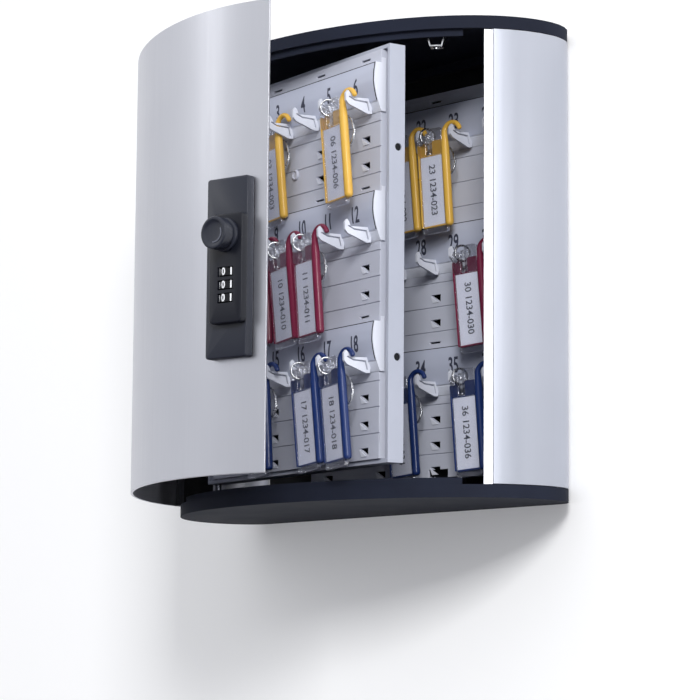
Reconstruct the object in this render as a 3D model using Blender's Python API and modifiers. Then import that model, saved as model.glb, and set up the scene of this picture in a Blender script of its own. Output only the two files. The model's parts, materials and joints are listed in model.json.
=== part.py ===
"""Wall-mounted key cabinet for 36 keys, with a swing-out hook panel and a three-digit lock.

Every piece is first placed as in the closed cabinet. Case frame: X to the right, Y towards the
wall (the wall is Y = 0, the front is at negative Y), Z up from the underside of the bottom cap.
Empties on the two hinge axes then open the door and the hook panel, and the root empty puts the
origin in the middle of the wall face.
"""

import math

import bmesh
import bpy
from mathutils import Matrix, Vector

MM = 0.001
GAP = 0.3 * MM

# Case
HEIGHT = 280 * MM
HALF_WIDTH = 151 * MM
DEPTH = 118 * MM
TIP_TO_WALL = 27.7 * MM  # the widest place of the outline, in front of the wall
BACK_HALF_WIDTH = 130.4 * MM
CAP_RIM = 7.5 * MM
CAP_FLOOR = 2.5 * MM
CAP_WALL = 5 * MM
LIP_HEIGHT = 4 * MM
LIP_INSET = 3 * MM
LIP_THICKNESS = 1.6 * MM
LIP_SPAN = (33, 138)  # degrees along the outline: 0 right tip, 90 front, 180 left tip
SKIN = 1.5 * MM
SKIN_LOW = CAP_RIM + GAP
SKIN_HIGH = HEIGHT - CAP_RIM - GAP
RIGHT_PANEL_SPAN = (23.4, -90)
LEFT_RETURN_SPAN = (173.5, 270)
STOP_SPAN = (26.3, 20.5)

# Door
DOOR_SPAN = (172, 24.3)
DOOR_PIVOT = Vector((-132.3, -63.4, 0)) * MM
DOOR_OPEN = 30.4  # degrees, at rest
HINGE_SPAN = (164, 148)
HINGE_THICKNESS = 6.2 * MM
PIN_RADIUS = 1.3 * MM
PIN_REACH = 18 * MM

# Lock: its seat is a tangent plane of the door skin
LOCK_ANGLE = 36.4
LOCK_HEIGHT = 122 * MM
PLATE_SIZE = Vector((30, 5, 101)) * MM
MECHANISM_X = 3.6 * MM
HOUSING_SIZE = Vector((24, 4.7, 61)) * MM
HOUSING_LOW = -32 * MM
KNOB_Z = 16.9 * MM
KNOB_RADIUS = 9.1 * MM
KNOB_LENGTH = 10.4 * MM
SPINDLE_RADIUS = 2.4 * MM
DIAL_RADIUS = 8 * MM
DIAL_THICKNESS = 4.6 * MM
DIAL_HEIGHTS = (-3.5 * MM, -10.8 * MM, -18.1 * MM)
DIAL_BAY = (-22.4 * MM, 0.8 * MM)  # the hollow that holds the dials, low and high
DIAL_Y = -2.4 * MM
CRANK_REACH = 4 * MM  # along X and along Z, so the throw is twice this
ROD_X = -10 * MM
ROD_Y = 12.7 * MM
ROD_TOP = 139.5 * MM

# Hook panels
PANEL_ROW_PITCH = 75.9 * MM
BACK_ROW_PITCH = 75.25 * MM
HOOK_PITCH = 28.6 * MM
HOOK_HALF = 0.85 * MM
HOOKS_PER_ROW = 6
PLATE_COLUMN_PITCH = 48.8 * MM
PANEL_PIVOT = Vector((-98.9, -69.1, 0)) * MM
PANEL_OPEN = 8.95
PANEL_PIN_RADIUS = 2 * MM
PANEL_LENGTH = 201 * MM
PANEL_LOW = 20 * MM
PANEL_HIGH = 264 * MM
TRAY_DEPTH = 10.8 * MM
TRAY_WALL = 2.2 * MM
STRIP_HEIGHT = 28.8 * MM
STRIP_LINE = 23.3 * MM  # from the strip's top down to the line where the hooks start
PANEL_STRIP_TOP = 253.3 * MM
BACK_STRIP_TOP = 249.9 * MM
BACK_FRONT_Y = -8 * MM
BACK_SPAN = (-80 * MM, 110 * MM)
BACK_HOOK_X = 94.3 * MM
GROOVE_DROPS = (34.2 * MM, 49.2 * MM, 64.4 * MM)  # down from a strip's top
ARROW_DROPS = (43.8 * MM, 59.3 * MM)
LAST_ARROW_DROP = 74.6 * MM
ARROW_SIZE = (8.4 * MM, 5 * MM)

# Key tags
TAG_WIDTH = 25 * MM  # from the crook's middle to the holder's left edge
TAG_LENGTH = 61 * MM
TAG_THICKNESS = 3.4 * MM
SPINE_RADIUS = 2.6 * MM
SPINE_LENGTH = 57.6 * MM
CROOK_RADIUS = 5.6 * MM
CROOK_TUBE = 1.5 * MM
HUNG_TAGS = {  # number: (aside and out along the hook, up from its line, in mm; yaw, tilt in degrees)
    3: (0.6, 6.0, 2.0, 7, 7),
    6: (-3.0, 12.9, 1.6, 7, 6.5),
    9: (-0.2, 12.9, 1.2, 7, 4),
    10: (-3.0, 12.9, 1.2, 7, 8),
    11: (-3.0, 12.9, 1.3, 7.5, 5.8),
    15: (1.1, 12.9, 1.0, 7, 4),
    17: (-3.0, 12.9, 1.2, 9, 7),
    18: (-3.0, 12.9, 1.4, 6.5, 7),
    22: (-3.0, 12.9, 2.3, 7, 5.5),
    23: (-2.3, 12.9, 2.4, 12, 4.2),
    30: (-0.2, 12.9, 2.2, 13, 5.2),
    34: (-3.0, 12.9, 2.8, 7, 5),
    36: (-1.9, 12.9, 3.0, 13, 4.5),
}

COLOURS = {
    "aluminium": ((0.72, 0.73, 0.75), 0.32, 1.0),
    "steel": ((0.60, 0.60, 0.62), 0.25, 1.0),
    "black_plastic": ((0.035, 0.037, 0.045), 0.5, 0.0),
    "lock_plastic": ((0.045, 0.048, 0.056), 0.45, 0.0),
    "grey_plastic": ((0.62, 0.63, 0.66), 0.5, 0.0),
    "white_plastic": ((0.85, 0.85, 0.87), 0.45, 0.0),
    "yellow_plastic": ((0.90, 0.60, 0.06), 0.35, 0.0),
    "red_plastic": ((0.45, 0.02, 0.07), 0.35, 0.0),
    "blue_plastic": ((0.03, 0.08, 0.30), 0.35, 0.0),
}


# ---------------------------------------------------------------- scene and helpers


def clear_scene():
    for item in list(bpy.data.objects):
        bpy.data.objects.remove(item)


def new_collection(name, hidden=False):
    made = bpy.data.collections.new(name)
    made.hide_render = hidden
    bpy.context.scene.collection.children.link(made)
    return made


def make_materials():
    made = {}
    for name, (colour, roughness, metallic) in COLOURS.items():
        material = bpy.data.materials.new(name)
        material.use_nodes = True
        shader = material.node_tree.nodes["Principled BSDF"]
        shader.inputs["Base Color"].default_value = (*colour, 1)
        shader.inputs["Roughness"].default_value = roughness
        shader.inputs["Metallic"].default_value = metallic
        made[name] = material
    return made


clear_scene()
PARTS = new_collection("key_cabinet")
CUTTERS = new_collection("cutters", hidden=True)
MATERIALS = make_materials()


def add_empty(name, location=(0, 0, 0), turn=0.0, parent=None):
    """An empty placed in the case frame, turned about Z by so many degrees."""
    empty = bpy.data.objects.new(name, None)
    empty.empty_display_size = 0.02
    PARTS.objects.link(empty)
    empty.parent = parent
    origin = parent["case_origin"].to_list() if parent else (0, 0, 0)
    empty.location = Vector(location) - Vector(origin)
    empty.rotation_euler.z = math.radians(turn)
    empty["case_origin"] = tuple(location)
    return empty


def add_object(name, mesh, parent, material=None):
    """Links a mesh written in the case frame under an empty, so that it turns with it."""
    made = bpy.data.objects.new(name, mesh)
    made.parent = parent
    made.location = -Vector(parent["case_origin"].to_list())
    if material is None:
        CUTTERS.objects.link(made)
        made.hide_render = True
        made.display_type = "WIRE"
    else:
        PARTS.objects.link(made)
        mesh.materials.append(MATERIALS[material])
    return made


def mesh_from(bm, name):
    bmesh.ops.recalc_face_normals(bm, faces=bm.faces)
    mesh = bpy.data.meshes.new(name)
    bm.to_mesh(mesh)
    bm.free()
    return mesh


def smooth(made, angle=30):
    made.data.shade_smooth()
    made.data.set_sharp_from_angle(angle=math.radians(angle))


def boolean(target, cutter, operation="DIFFERENCE"):
    modifier = target.modifiers.new(cutter.name, "BOOLEAN")
    modifier.operation = operation
    modifier.object = cutter
    modifier.solver = "EXACT"


def prism_into(bm, points, axis, low, high):
    """Extrudes a closed outline along an axis: the outline lies in the other two, in order."""
    spots = []
    for a, b in points:
        spot = [a, b]
        spot.insert(axis, low)
        spots.append(bm.verts.new(spot))
    ring = [bm.edges.new((spots[i - 1], spots[i])) for i in range(len(spots))]
    face = bmesh.ops.contextual_create(bm, geom=ring)["faces"]
    sweep = bmesh.ops.extrude_face_region(bm, geom=face)["geom"]
    shift = Vector((0, 0, 0))
    shift[axis] = high - low
    moved = [item for item in sweep if isinstance(item, bmesh.types.BMVert)]
    bmesh.ops.translate(bm, verts=moved, vec=shift)


def prism(name, points, axis, low, high, parent, material=None):
    bm = bmesh.new()
    prism_into(bm, points, axis, low, high)
    return add_object(name, mesh_from(bm, name), parent, material)


def box_into(bm, low, high):
    low, high = Vector(low), Vector(high)
    place = Matrix.Translation((low + high) / 2) @ Matrix.Diagonal((*(high - low), 1))
    bmesh.ops.create_cube(bm, size=1, matrix=place)


def boxes(name, corners, parent, material=None, place=None):
    """One mesh of separate boxes, each given by its lowest and highest corner."""
    bm = bmesh.new()
    for low, high in corners:
        box_into(bm, low, high)
    if place is not None:
        bmesh.ops.transform(bm, matrix=place, verts=bm.verts)
    return add_object(name, mesh_from(bm, name), parent, material)


def rod_into(bm, start, end, radius, sides=16):
    start, end = Vector(start), Vector(end)
    turn = Vector((0, 0, 1)).rotation_difference(end - start).to_matrix().to_4x4()
    bmesh.ops.create_cone(
        bm,
        cap_ends=True,
        segments=sides,
        radius1=radius,
        radius2=radius,
        depth=(end - start).length,
        matrix=Matrix.Translation((start + end) / 2) @ turn,
    )


def rods(name, spans, radius, parent, material=None, sides=16):
    bm = bmesh.new()
    for start, end in spans:
        rod_into(bm, start, end, radius, sides)
    return add_object(name, mesh_from(bm, name), parent, material)


# ---------------------------------------------------------------- outline of the case


def case_point(degrees, inset=0.0):
    """A point of the plan outline, moved inwards: half an ellipse in front, rounded rear corners."""
    angle = math.radians(degrees)
    side = 1
    if degrees > 180:
        angle = math.pi - angle
        side = -1
    if angle >= 0 and side > 0:
        centre_x, reach_x, reach_y = 0.0, HALF_WIDTH, DEPTH - TIP_TO_WALL
    else:
        centre_x = BACK_HALF_WIDTH
        reach_x, reach_y = HALF_WIDTH - BACK_HALF_WIDTH, TIP_TO_WALL
    x = centre_x + reach_x * math.cos(angle)
    y = -TIP_TO_WALL - reach_y * math.sin(angle)
    normal = Vector((math.cos(angle) / reach_x, -math.sin(angle) / reach_y)).normalized()
    return Vector((side * (x - inset * normal.x), y - inset * normal.y))


def case_path(start, end, inset=0.0, step=4.0):
    """Points along the outline; the tight rear corners take the same step in degrees."""
    count = max(2, math.ceil(abs(end - start) / step))
    return [case_point(start + (end - start) * i / count, inset) for i in range(count + 1)]


def case_outline(inset=0.0):
    corner, front = 15.0, 4.0
    right = case_path(-90, 0, inset, corner)
    left = case_path(180, 270, inset, corner)
    return right[:-1] + case_path(0, 180, inset, front) + left[1:]


def skin_wall(name, span, inset, thickness, low, high, parent, material, step=4.0):
    """A sheet that follows the outline, thickened inwards."""
    bm = bmesh.new()
    path = case_path(span[0], span[1], inset, step)
    spots = [bm.verts.new((x, y, low)) for x, y in path]
    edges = [bm.edges.new(pair) for pair in zip(spots, spots[1:])]
    sweep = bmesh.ops.extrude_edge_only(bm, edges=edges)["geom"]
    moved = [item for item in sweep if isinstance(item, bmesh.types.BMVert)]
    bmesh.ops.translate(bm, verts=moved, vec=(0, 0, high - low))
    mesh = bpy.data.meshes.new(name)
    bm.to_mesh(mesh)
    bm.free()
    middle = mesh.polygons[len(mesh.polygons) // 2]
    outward = middle.normal.dot(middle.center - Vector((0, -TIP_TO_WALL, middle.center.z))) > 0
    made = add_object(name, mesh, parent, material)
    solid = made.modifiers.new("thickness", "SOLIDIFY")
    solid.thickness = thickness
    solid.offset = -1 if outward else 1
    solid.use_even_offset = True
    return made


# ---------------------------------------------------------------- case


def add_cap(name, base, up, root):
    """A dished end cap: floor, rim and the stop lip that the door closes against."""

    def span(low, high):
        return sorted((base + up * low, base + up * high))

    cap = prism(name, case_outline(), 2, *span(0, CAP_RIM), root, "black_plastic")
    pocket = prism(
        name + "_pocket", case_outline(CAP_WALL), 2, *span(CAP_FLOOR, CAP_RIM + 1 * MM), root
    )
    boolean(cap, pocket)
    low, high = span(CAP_RIM - 2 * MM, CAP_RIM + LIP_HEIGHT)
    lip = skin_wall(name + "_lip", LIP_SPAN, LIP_INSET, LIP_THICKNESS, low, high, root, None)
    boolean(cap, lip, "UNION")
    for label, pivot, radius in (("door", DOOR_PIVOT, PIN_RADIUS), ("panel", PANEL_PIVOT, PANEL_PIN_RADIUS)):
        x, y = pivot.xy
        low, high = span(CAP_FLOOR - 1 * MM, CAP_RIM)
        boss = rods(f"{name}_{label}_boss", [((x, y, low), (x, y, high))], radius + 2.2 * MM, root)
        boolean(cap, boss, "UNION")
        low, high = span(CAP_FLOOR, CAP_RIM + LIP_HEIGHT + 1 * MM)
        bore = rods(f"{name}_{label}_bore", [((x, y, low), (x, y, high))], radius + GAP, root)
        boolean(cap, bore)
    smooth(cap)


def add_case(root):
    add_cap("bottom_cap", 0, 1, root)
    add_cap("top_cap", HEIGHT, -1, root)

    inner = 128 * MM
    back = boxes(
        "back_plate",
        [((-inner, -SKIN, SKIN_LOW), (inner, 0, SKIN_HIGH))],
        root,
        "black_plastic",
    )
    hole_x, hole_z = 118 * MM, 100 * MM
    spots = [(x, HEIGHT / 2 + z) for x in (-hole_x, hole_x) for z in (-hole_z, hole_z)]
    holes = rods(
        "back_plate_holes",
        [((x, -5 * MM, z), (x, 5 * MM, z)) for x, z in spots],
        2.5 * MM,
        root,
    )
    boolean(back, holes)

    for name, span in (("right_side_panel", RIGHT_PANEL_SPAN), ("left_rear_return", LEFT_RETURN_SPAN)):
        panel = skin_wall(name, span, 0, SKIN, SKIN_LOW, SKIN_HIGH, root, "aluminium", 6)
        smooth(panel)
    stop = skin_wall(
        "door_stop_strip", STOP_SPAN, SKIN + GAP, 1.2 * MM, SKIN_LOW, SKIN_HIGH, root, "aluminium"
    )
    smooth(stop)

    x, y = DOOR_PIVOT.xy
    for name, low in (
        ("door_hinge_pin_lower", CAP_FLOOR + GAP),
        ("door_hinge_pin_upper", HEIGHT - CAP_FLOOR - GAP - PIN_REACH),
    ):
        rods(name, [((x, y, low), (x, y, low + PIN_REACH))], PIN_RADIUS, root, "steel")

    x, y = PANEL_PIVOT.xy
    spans = {
        "panel_hinge_pin_lower": (CAP_FLOOR + GAP, PANEL_LOW + 4 * MM),
        "panel_hinge_pin_upper": (PANEL_HIGH - 4 * MM, HEIGHT - CAP_FLOOR - GAP),
    }
    for name, (low, high) in spans.items():
        rods(name, [((x, y, low), (x, y, high))], PANEL_PIN_RADIUS, root, "steel")


def add_rails(root):
    """The ledge that the back hook panel stands on, and the rail that holds its upper edge."""
    rear = -SKIN - GAP
    low, high = BACK_SPAN
    boxes(
        "back_panel_ledge",
        [((low, -14 * MM, CAP_RIM + GAP), (67.5 * MM, rear, PANEL_LOW - GAP))],
        root,
        "black_plastic",
    )
    boxes(
        "back_panel_rail",
        [((low, -6 * MM, 259.5 * MM + GAP), (high, rear, 268 * MM))],
        root,
        "black_plastic",
    )


def lock_place():
    """The lock's frame in the case: X along the skin to the free edge, Y inwards, Z up."""
    point = case_point(LOCK_ANGLE)
    inner = case_point(LOCK_ANGLE, 1 * MM)
    inwards = (inner - point).normalized()
    turn = math.atan2(-inwards.x, inwards.y)
    centre = Vector((point.x, point.y, LOCK_HEIGHT))
    return Matrix.Translation(centre) @ Matrix.Rotation(turn, 4, "Z")


def add_strike(root):
    """A folded bracket under the top cap, with a hole that the latch rod rises into."""
    thickness, half_depth = 0.9 * MM, 4 * MM
    top = HEIGHT - CAP_FLOOR - GAP - thickness / 2 - LOCK_HEIGHT
    low = 264.6 * MM - LOCK_HEIGHT
    outer = [(9, top), (5, top), (5, low + 6 * MM), (3.4, low)]
    side = [(ROD_X + x * MM, z) for x, z in outer]
    other = [(2 * ROD_X - x, z) for x, z in reversed(side)]
    bm = bmesh.new()
    spots = [bm.verts.new((x, ROD_Y - half_depth, z)) for x, z in side + other]
    edges = [bm.edges.new(pair) for pair in zip(spots, spots[1:])]
    sweep = bmesh.ops.extrude_edge_only(bm, edges=edges)["geom"]
    moved = [item for item in sweep if isinstance(item, bmesh.types.BMVert)]
    bmesh.ops.translate(bm, verts=moved, vec=(0, 2 * half_depth, 0))
    bmesh.ops.transform(bm, matrix=lock_place(), verts=bm.verts)
    strike = add_object("latch_strike", mesh_from(bm, "latch_strike"), root, "steel")
    solid = strike.modifiers.new("thickness", "SOLIDIFY")
    solid.thickness = thickness
    solid.offset = 0
    place = lock_place()
    spot = Vector((ROD_X, ROD_Y, 0))
    hole = rods(
        "latch_strike_hole",
        [(place @ (spot + Vector((0, 0, low - 3 * MM))), place @ (spot + Vector((0, 0, low + 3 * MM))))],
        2.6 * MM,
        root,
    )
    boolean(strike, hole)


# ---------------------------------------------------------------- door and lock


def add_door(pivot):
    """The curved skin with its lock opening, and the hinge profile inside its rear end."""
    skin = skin_wall("door_skin", DOOR_SPAN, 0, SKIN, SKIN_LOW, SKIN_HIGH, pivot, "aluminium")
    place = lock_place()
    x = MECHANISM_X
    opening = boxes(
        "door_lock_opening",
        [((x - 9.5 * MM, -6 * MM, -23.4 * MM), (x + 9.5 * MM, 6 * MM, 22 * MM))],
        pivot,
        None,
        place,
    )
    boolean(skin, opening)
    smooth(skin)

    clear = 0.5 * MM
    hinge = skin_wall(
        "door_hinge_profile",
        HINGE_SPAN,
        SKIN + GAP,
        HINGE_THICKNESS,
        SKIN_LOW + clear,
        SKIN_HIGH - clear,
        pivot,
        "black_plastic",
    )
    x, y = DOOR_PIVOT.xy
    bore = rods(
        "door_hinge_bore",
        [((x, y, -10 * MM), (x, y, HEIGHT + 10 * MM))],
        PIN_RADIUS + GAP,
        pivot,
    )
    boolean(hinge, bore)
    smooth(hinge)


def add_lock_plate(pivot, place):
    """The escutcheon: a flat plate, hollowed behind to fit the curved skin."""
    half = PLATE_SIZE.x / 2
    bm = bmesh.new()
    box_into(
        bm,
        (-half, -PLATE_SIZE.y, -PLATE_SIZE.z / 2),
        (half, 2.5 * MM, PLATE_SIZE.z / 2),
    )
    upright = [e for e in bm.edges if abs((e.verts[0].co - e.verts[1].co).y) > 1 * MM]
    bmesh.ops.bevel(bm, geom=upright, offset=1.5 * MM, segments=2, affect="EDGES", profile=0.5)
    rim = [e for e in bm.edges if all(v.co.y < -PLATE_SIZE.y + 0.01 * MM for v in e.verts)]
    bmesh.ops.bevel(bm, geom=rim, offset=0.8 * MM, segments=2, affect="EDGES", profile=0.5)
    bmesh.ops.transform(bm, matrix=place, verts=bm.verts)
    plate = add_object("lock_plate", mesh_from(bm, "lock_plate"), pivot, "lock_plastic")
    form = prism("lock_plate_form", case_outline(-GAP), 2, 0, HEIGHT, pivot)
    boolean(plate, form)
    x = MECHANISM_X
    opening = boxes(
        "lock_plate_opening",
        [((x - 9.2 * MM, -9 * MM, DIAL_BAY[0] - GAP), (x + 9.2 * MM, 9 * MM, 21 * MM))],
        pivot,
        None,
        place,
    )
    boolean(plate, opening)
    smooth(plate)


def add_lock_housing(pivot, place):
    """The raised body with three windows for the dials and a bore for the spindle."""
    x = MECHANISM_X
    front = -PLATE_SIZE.y - GAP - HOUSING_SIZE.y
    rear = -PLATE_SIZE.y - GAP
    half = HOUSING_SIZE.x / 2
    low = HOUSING_LOW
    bm = bmesh.new()
    box_into(bm, (x - half, front, low), (x + half, rear, low + HOUSING_SIZE.z))
    upright = [e for e in bm.edges if abs((e.verts[0].co - e.verts[1].co).y) > 1 * MM]
    bmesh.ops.bevel(bm, geom=upright, offset=2.5 * MM, segments=3, affect="EDGES", profile=0.5)
    rim = [e for e in bm.edges if all(v.co.y < front + 0.01 * MM for v in e.verts)]
    bmesh.ops.bevel(bm, geom=rim, offset=0.8 * MM, segments=2, affect="EDGES", profile=0.5)
    bmesh.ops.transform(bm, matrix=place, verts=bm.verts)
    housing = add_object("lock_housing", mesh_from(bm, "lock_housing"), pivot, "lock_plastic")
    pocket = boxes(
        "lock_housing_pocket",
        [((x - 8.8 * MM, front + 1.5 * MM, DIAL_BAY[0]), (x + 8.8 * MM, 0, DIAL_BAY[1]))],
        pivot,
        None,
        place,
    )
    boolean(housing, pocket)
    window = Vector((5.6 * MM, 3 * MM, 2.7 * MM))
    middles = [Vector((x, front, z)) for z in DIAL_HEIGHTS]
    windows = boxes(
        "lock_housing_windows",
        [(middle - window, middle + window) for middle in middles],
        pivot,
        None,
        place,
    )
    boolean(housing, windows)
    bore = rods(
        "lock_housing_bore",
        [(place @ Vector((x, -20 * MM, KNOB_Z)), place @ Vector((x, 5 * MM, KNOB_Z)))],
        SPINDLE_RADIUS + GAP,
        pivot,
    )
    boolean(housing, bore)
    smooth(housing)


def add_lock_rear(pivot, place):
    """The case behind the skin, hollowed for the dials and bored for the spindle."""
    x = MECHANISM_X
    rear = boxes(
        "lock_rear_case",
        [((x - 11 * MM, 2.9 * MM, -26 * MM), (x + 11 * MM, 9.1 * MM, 28 * MM))],
        pivot,
        "lock_plastic",
        place,
    )
    pocket = boxes(
        "lock_rear_pocket",
        [((x - 9.2 * MM, 0, DIAL_BAY[0]), (x + 9.2 * MM, 7.5 * MM, DIAL_BAY[1]))],
        pivot,
        None,
        place,
    )
    boolean(rear, pocket)
    bore = rods(
        "lock_rear_bore",
        [(place @ Vector((x, 0, KNOB_Z)), place @ Vector((x, 12 * MM, KNOB_Z)))],
        SPINDLE_RADIUS + GAP,
        pivot,
    )
    boolean(rear, bore)
    for name, height in (("latch_rod_guide_lower", 60 * MM), ("latch_rod_guide_upper", 120 * MM)):
        low = (ROD_X - 4 * MM, 2.9 * MM, height - 3 * MM)
        high = (ROD_X + 4 * MM, 16.2 * MM, height + 3 * MM)
        guide = boxes(name, [(low, high)], pivot, "lock_plastic", place)
        low = (ROD_X - 2.9 * MM, ROD_Y - 1.6 * MM, height - 10 * MM)
        high = (ROD_X + 2.9 * MM, ROD_Y + 1.6 * MM, height + 10 * MM)
        boolean(guide, boxes(name + "_slot", [(low, high)], pivot, None, place))


def add_dials(pivot, place):
    """Three number wheels on one upright axle."""
    x = MECHANISM_X
    axle = [place @ Vector((x, DIAL_Y, z)) for z in (DIAL_BAY[0] + GAP, DIAL_BAY[1] - GAP)]
    rods("dial_axle", [axle], 1.2 * MM, pivot, "steel")
    for number, height in enumerate(DIAL_HEIGHTS, start=1):
        centre = place @ Vector((x, DIAL_Y, height))
        holder = add_empty(f"dial_{number}_axis", centre, 0, pivot)
        half = Vector((0, 0, DIAL_THICKNESS / 2))
        dial = rods(
            f"number_dial_{number}",
            [(centre - half, centre + half)],
            DIAL_RADIUS,
            holder,
            "lock_plastic",
            20,
        )
        bore = rods(
            f"number_dial_{number}_bore",
            [(centre - half * 2, centre + half * 2)],
            1.2 * MM + GAP,
            holder,
        )
        boolean(dial, bore)
        smooth(dial)


def add_knob(pivot, place):
    """The turned knob, and behind it the spindle with its crank pin."""
    x = MECHANISM_X
    base = -PLATE_SIZE.y - GAP - HOUSING_SIZE.y - GAP
    centre = place @ Vector((x, base, KNOB_Z))
    holder = add_empty("knob_axis", centre, 0, pivot)
    edge = 0.8 * MM
    profile = [
        (0.0, KNOB_LENGTH - 0.6 * MM),
        (KNOB_RADIUS - 2.2 * MM, KNOB_LENGTH - 0.6 * MM),
        (KNOB_RADIUS - 1.6 * MM, KNOB_LENGTH),
        (KNOB_RADIUS - edge, KNOB_LENGTH),
        (KNOB_RADIUS, KNOB_LENGTH - edge),
        (KNOB_RADIUS, 3.2 * MM),
        (KNOB_RADIUS - 1 * MM, 2.2 * MM),
        (KNOB_RADIUS - 1 * MM, 1.6 * MM),
        (KNOB_RADIUS + 0.4 * MM, 1.2 * MM),
        (KNOB_RADIUS + 0.4 * MM, 0.0),
        (0.0, 0.0),
    ]
    bm = bmesh.new()
    spots = [bm.verts.new((radius, 0, height)) for radius, height in profile]
    for pair in zip(spots, spots[1:]):
        bm.edges.new(pair)
    mesh = bpy.data.meshes.new("lock_knob")
    bm.to_mesh(mesh)
    bm.free()
    knob = bpy.data.objects.new("lock_knob", mesh)
    PARTS.objects.link(knob)
    mesh.materials.append(MATERIALS["lock_plastic"])
    knob.parent = holder
    knob.rotation_euler = (math.radians(90), 0, place.to_euler().z)
    turned = knob.modifiers.new("turned", "SCREW")
    turned.steps = turned.render_steps = 24
    turned.use_merge_vertices = True
    turned.merge_threshold = 0.00005
    smooth(knob)

    arm = boxes(
        "lock_spindle",
        [((x - 1.8 * MM, 9.5 * MM, -1.8 * MM), (x + 7.6 * MM, 11 * MM, 1.8 * MM))],
        holder,
        "steel",
        place
        @ Matrix.Translation((x, 0, KNOB_Z))
        @ Matrix.Rotation(math.radians(135), 4, "Y")
        @ Matrix.Translation((-x, 0, 0)),
    )
    shaft = rods(
        "lock_spindle_shaft",
        [(place @ Vector((x, base + GAP + 0.3 * MM, KNOB_Z)), place @ Vector((x, 10.4 * MM, KNOB_Z)))],
        SPINDLE_RADIUS,
        holder,
    )
    boolean(arm, shaft, "UNION")
    pin_x, pin_z = x - CRANK_REACH, KNOB_Z - CRANK_REACH
    pin = rods(
        "lock_spindle_pin",
        [(place @ Vector((pin_x, 10.2 * MM, pin_z)), place @ Vector((pin_x, 14.6 * MM, pin_z)))],
        1.2 * MM,
        holder,
    )
    boolean(arm, pin, "UNION")


def add_latch_rod(pivot, place):
    """The flat rod that the crank pin lifts: a slot lets the pin move sideways."""
    half = 1.2 * MM
    top = ROD_TOP - 7 * MM
    pin_x, pin_z = MECHANISM_X - CRANK_REACH, KNOB_Z - CRANK_REACH
    outline = [
        (ROD_X - 2.5 * MM, 8 * MM),
        (2 * MM, 8 * MM),
        (2 * MM, 19 * MM),
        (ROD_X + 2.5 * MM, 19 * MM),
        (ROD_X + 2.5 * MM, top),
        (ROD_X + 1.4 * MM, top + 2 * MM),
        (ROD_X + 1.4 * MM, ROD_TOP),
        (ROD_X - 1.4 * MM, ROD_TOP),
        (ROD_X - 1.4 * MM, top + 2 * MM),
        (ROD_X - 2.5 * MM, top),
    ]
    bm = bmesh.new()
    prism_into(bm, outline, 1, ROD_Y - half, ROD_Y + half)
    bmesh.ops.transform(bm, matrix=place, verts=bm.verts)
    rod = add_object("latch_rod", mesh_from(bm, "latch_rod"), pivot, "steel")
    slot = boxes(
        "latch_rod_slot",
        [((pin_x - 3.4 * MM, 5 * MM, pin_z - 1.6 * MM), (pin_x + 1.6 * MM, 20 * MM, pin_z + 1.6 * MM))],
        pivot,
        None,
        place,
    )
    boolean(rod, slot)


# ---------------------------------------------------------------- hook panels


def row_tops(first, pitch):
    return [first - pitch * row for row in range(3)]


def add_hook_plate(name, low, high, front, tops, column_x, edge, parent, notch=False):
    """A shallow pan with slat grooves, half-arrow holes and dash slots. front is its face's Y."""
    depth = 6.2 * MM if notch else 10.2 * MM
    wall = 1.6 * MM
    left, right = edge
    pan = boxes(name, [((left, front, low), (right, front + depth, high))], parent, "grey_plastic")
    hollow = boxes(
        name + "_hollow",
        [
            (
                (left + wall, front + wall, low + wall),
                (right - wall, front + depth + 1 * MM, high - wall),
            )
        ],
        parent,
    )
    boolean(pan, hollow)

    grooves = []
    for top in tops:
        for drop in GROOVE_DROPS:
            z = top - drop
            corner = (left - 1 * MM, front - 1 * MM, z - 0.3 * MM)
            grooves.append((corner, (right + 1 * MM, front + 0.6 * MM, z + 0.3 * MM)))
    boolean(pan, boxes(name + "_grooves", grooves, parent))

    columns = [column_x - PLATE_COLUMN_PITCH * i for i in range(4)]
    columns = [x for x in columns if x > left + 8 * MM]
    half_x, half_z = ARROW_SIZE[0] / 2, ARROW_SIZE[1] / 2
    bm = bmesh.new()
    for x in columns:
        for top in tops:
            last = (LAST_ARROW_DROP,) if top == tops[-1] else ()
            for drop in ARROW_DROPS + last:
                z = top - drop
                arrow = [(x - half_x, z + half_z), (x + half_x, z + half_z), (x + half_x, z - half_z)]
                prism_into(bm, arrow, 1, front - 1 * MM, front + wall + 1 * MM)
            z = top + 4.2 * MM
            box_into(
                bm,
                (x - 5 * MM, front - 1 * MM, z - 0.6 * MM),
                (x + 4 * MM, front + wall + 1 * MM, z + 0.6 * MM),
            )
    holes = add_object(name + "_holes", mesh_from(bm, name + "_holes"), parent)
    boolean(pan, holes)
    if notch:
        x = columns[1]
        cut = [((x - 6 * MM, front - 1 * MM, low - 1 * MM), (x + 11 * MM, front + 9 * MM, low + 5.5 * MM))]
        boolean(pan, boxes(name + "_notch", cut, parent))
    return pan


STRIP_PROFILE = (  # (out from the plate's face, down from the strip's top), in mm
    (0.3, 0.0),
    (4.3, 0.0),
    (5.2, 5.0),
    (5.5, 11.0),
    (4.9, 15.4),
    (3.8, 20.0),
    (2.8, 23.0),
    (2.4, 23.3),
    (2.5, 23.6),
    (1.6, 26.0),
    (0.3, 28.8),
)
HOOK_PROFILE = (  # (out from the root, up from the line), in mm
    (-1.2, -0.6),
    (0.6, 0.2),
    (1.5, 2.8),
    (13.4, 2.2),
    (14.6, 5.0),
    (15.9, 6.2),
    (17.3, 4.4),
    (17.1, 0.0),
    (15.2, -2.0),
    (2.0, -6.3),
    (-0.8, -6.0),
)
HOOK_SLOT = (
    (0.7, -4.4),
    (1.7, -4.4),
    (3.0, 0.0),
    (11.0, 0.3),
    (15.2, 2.1),
    (14.8, 2.9),
    (11.0, 1.2),
    (2.2, 0.9),
)
STRIP_END = 0.9 * MM  # the tab over the plate's right edge


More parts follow.
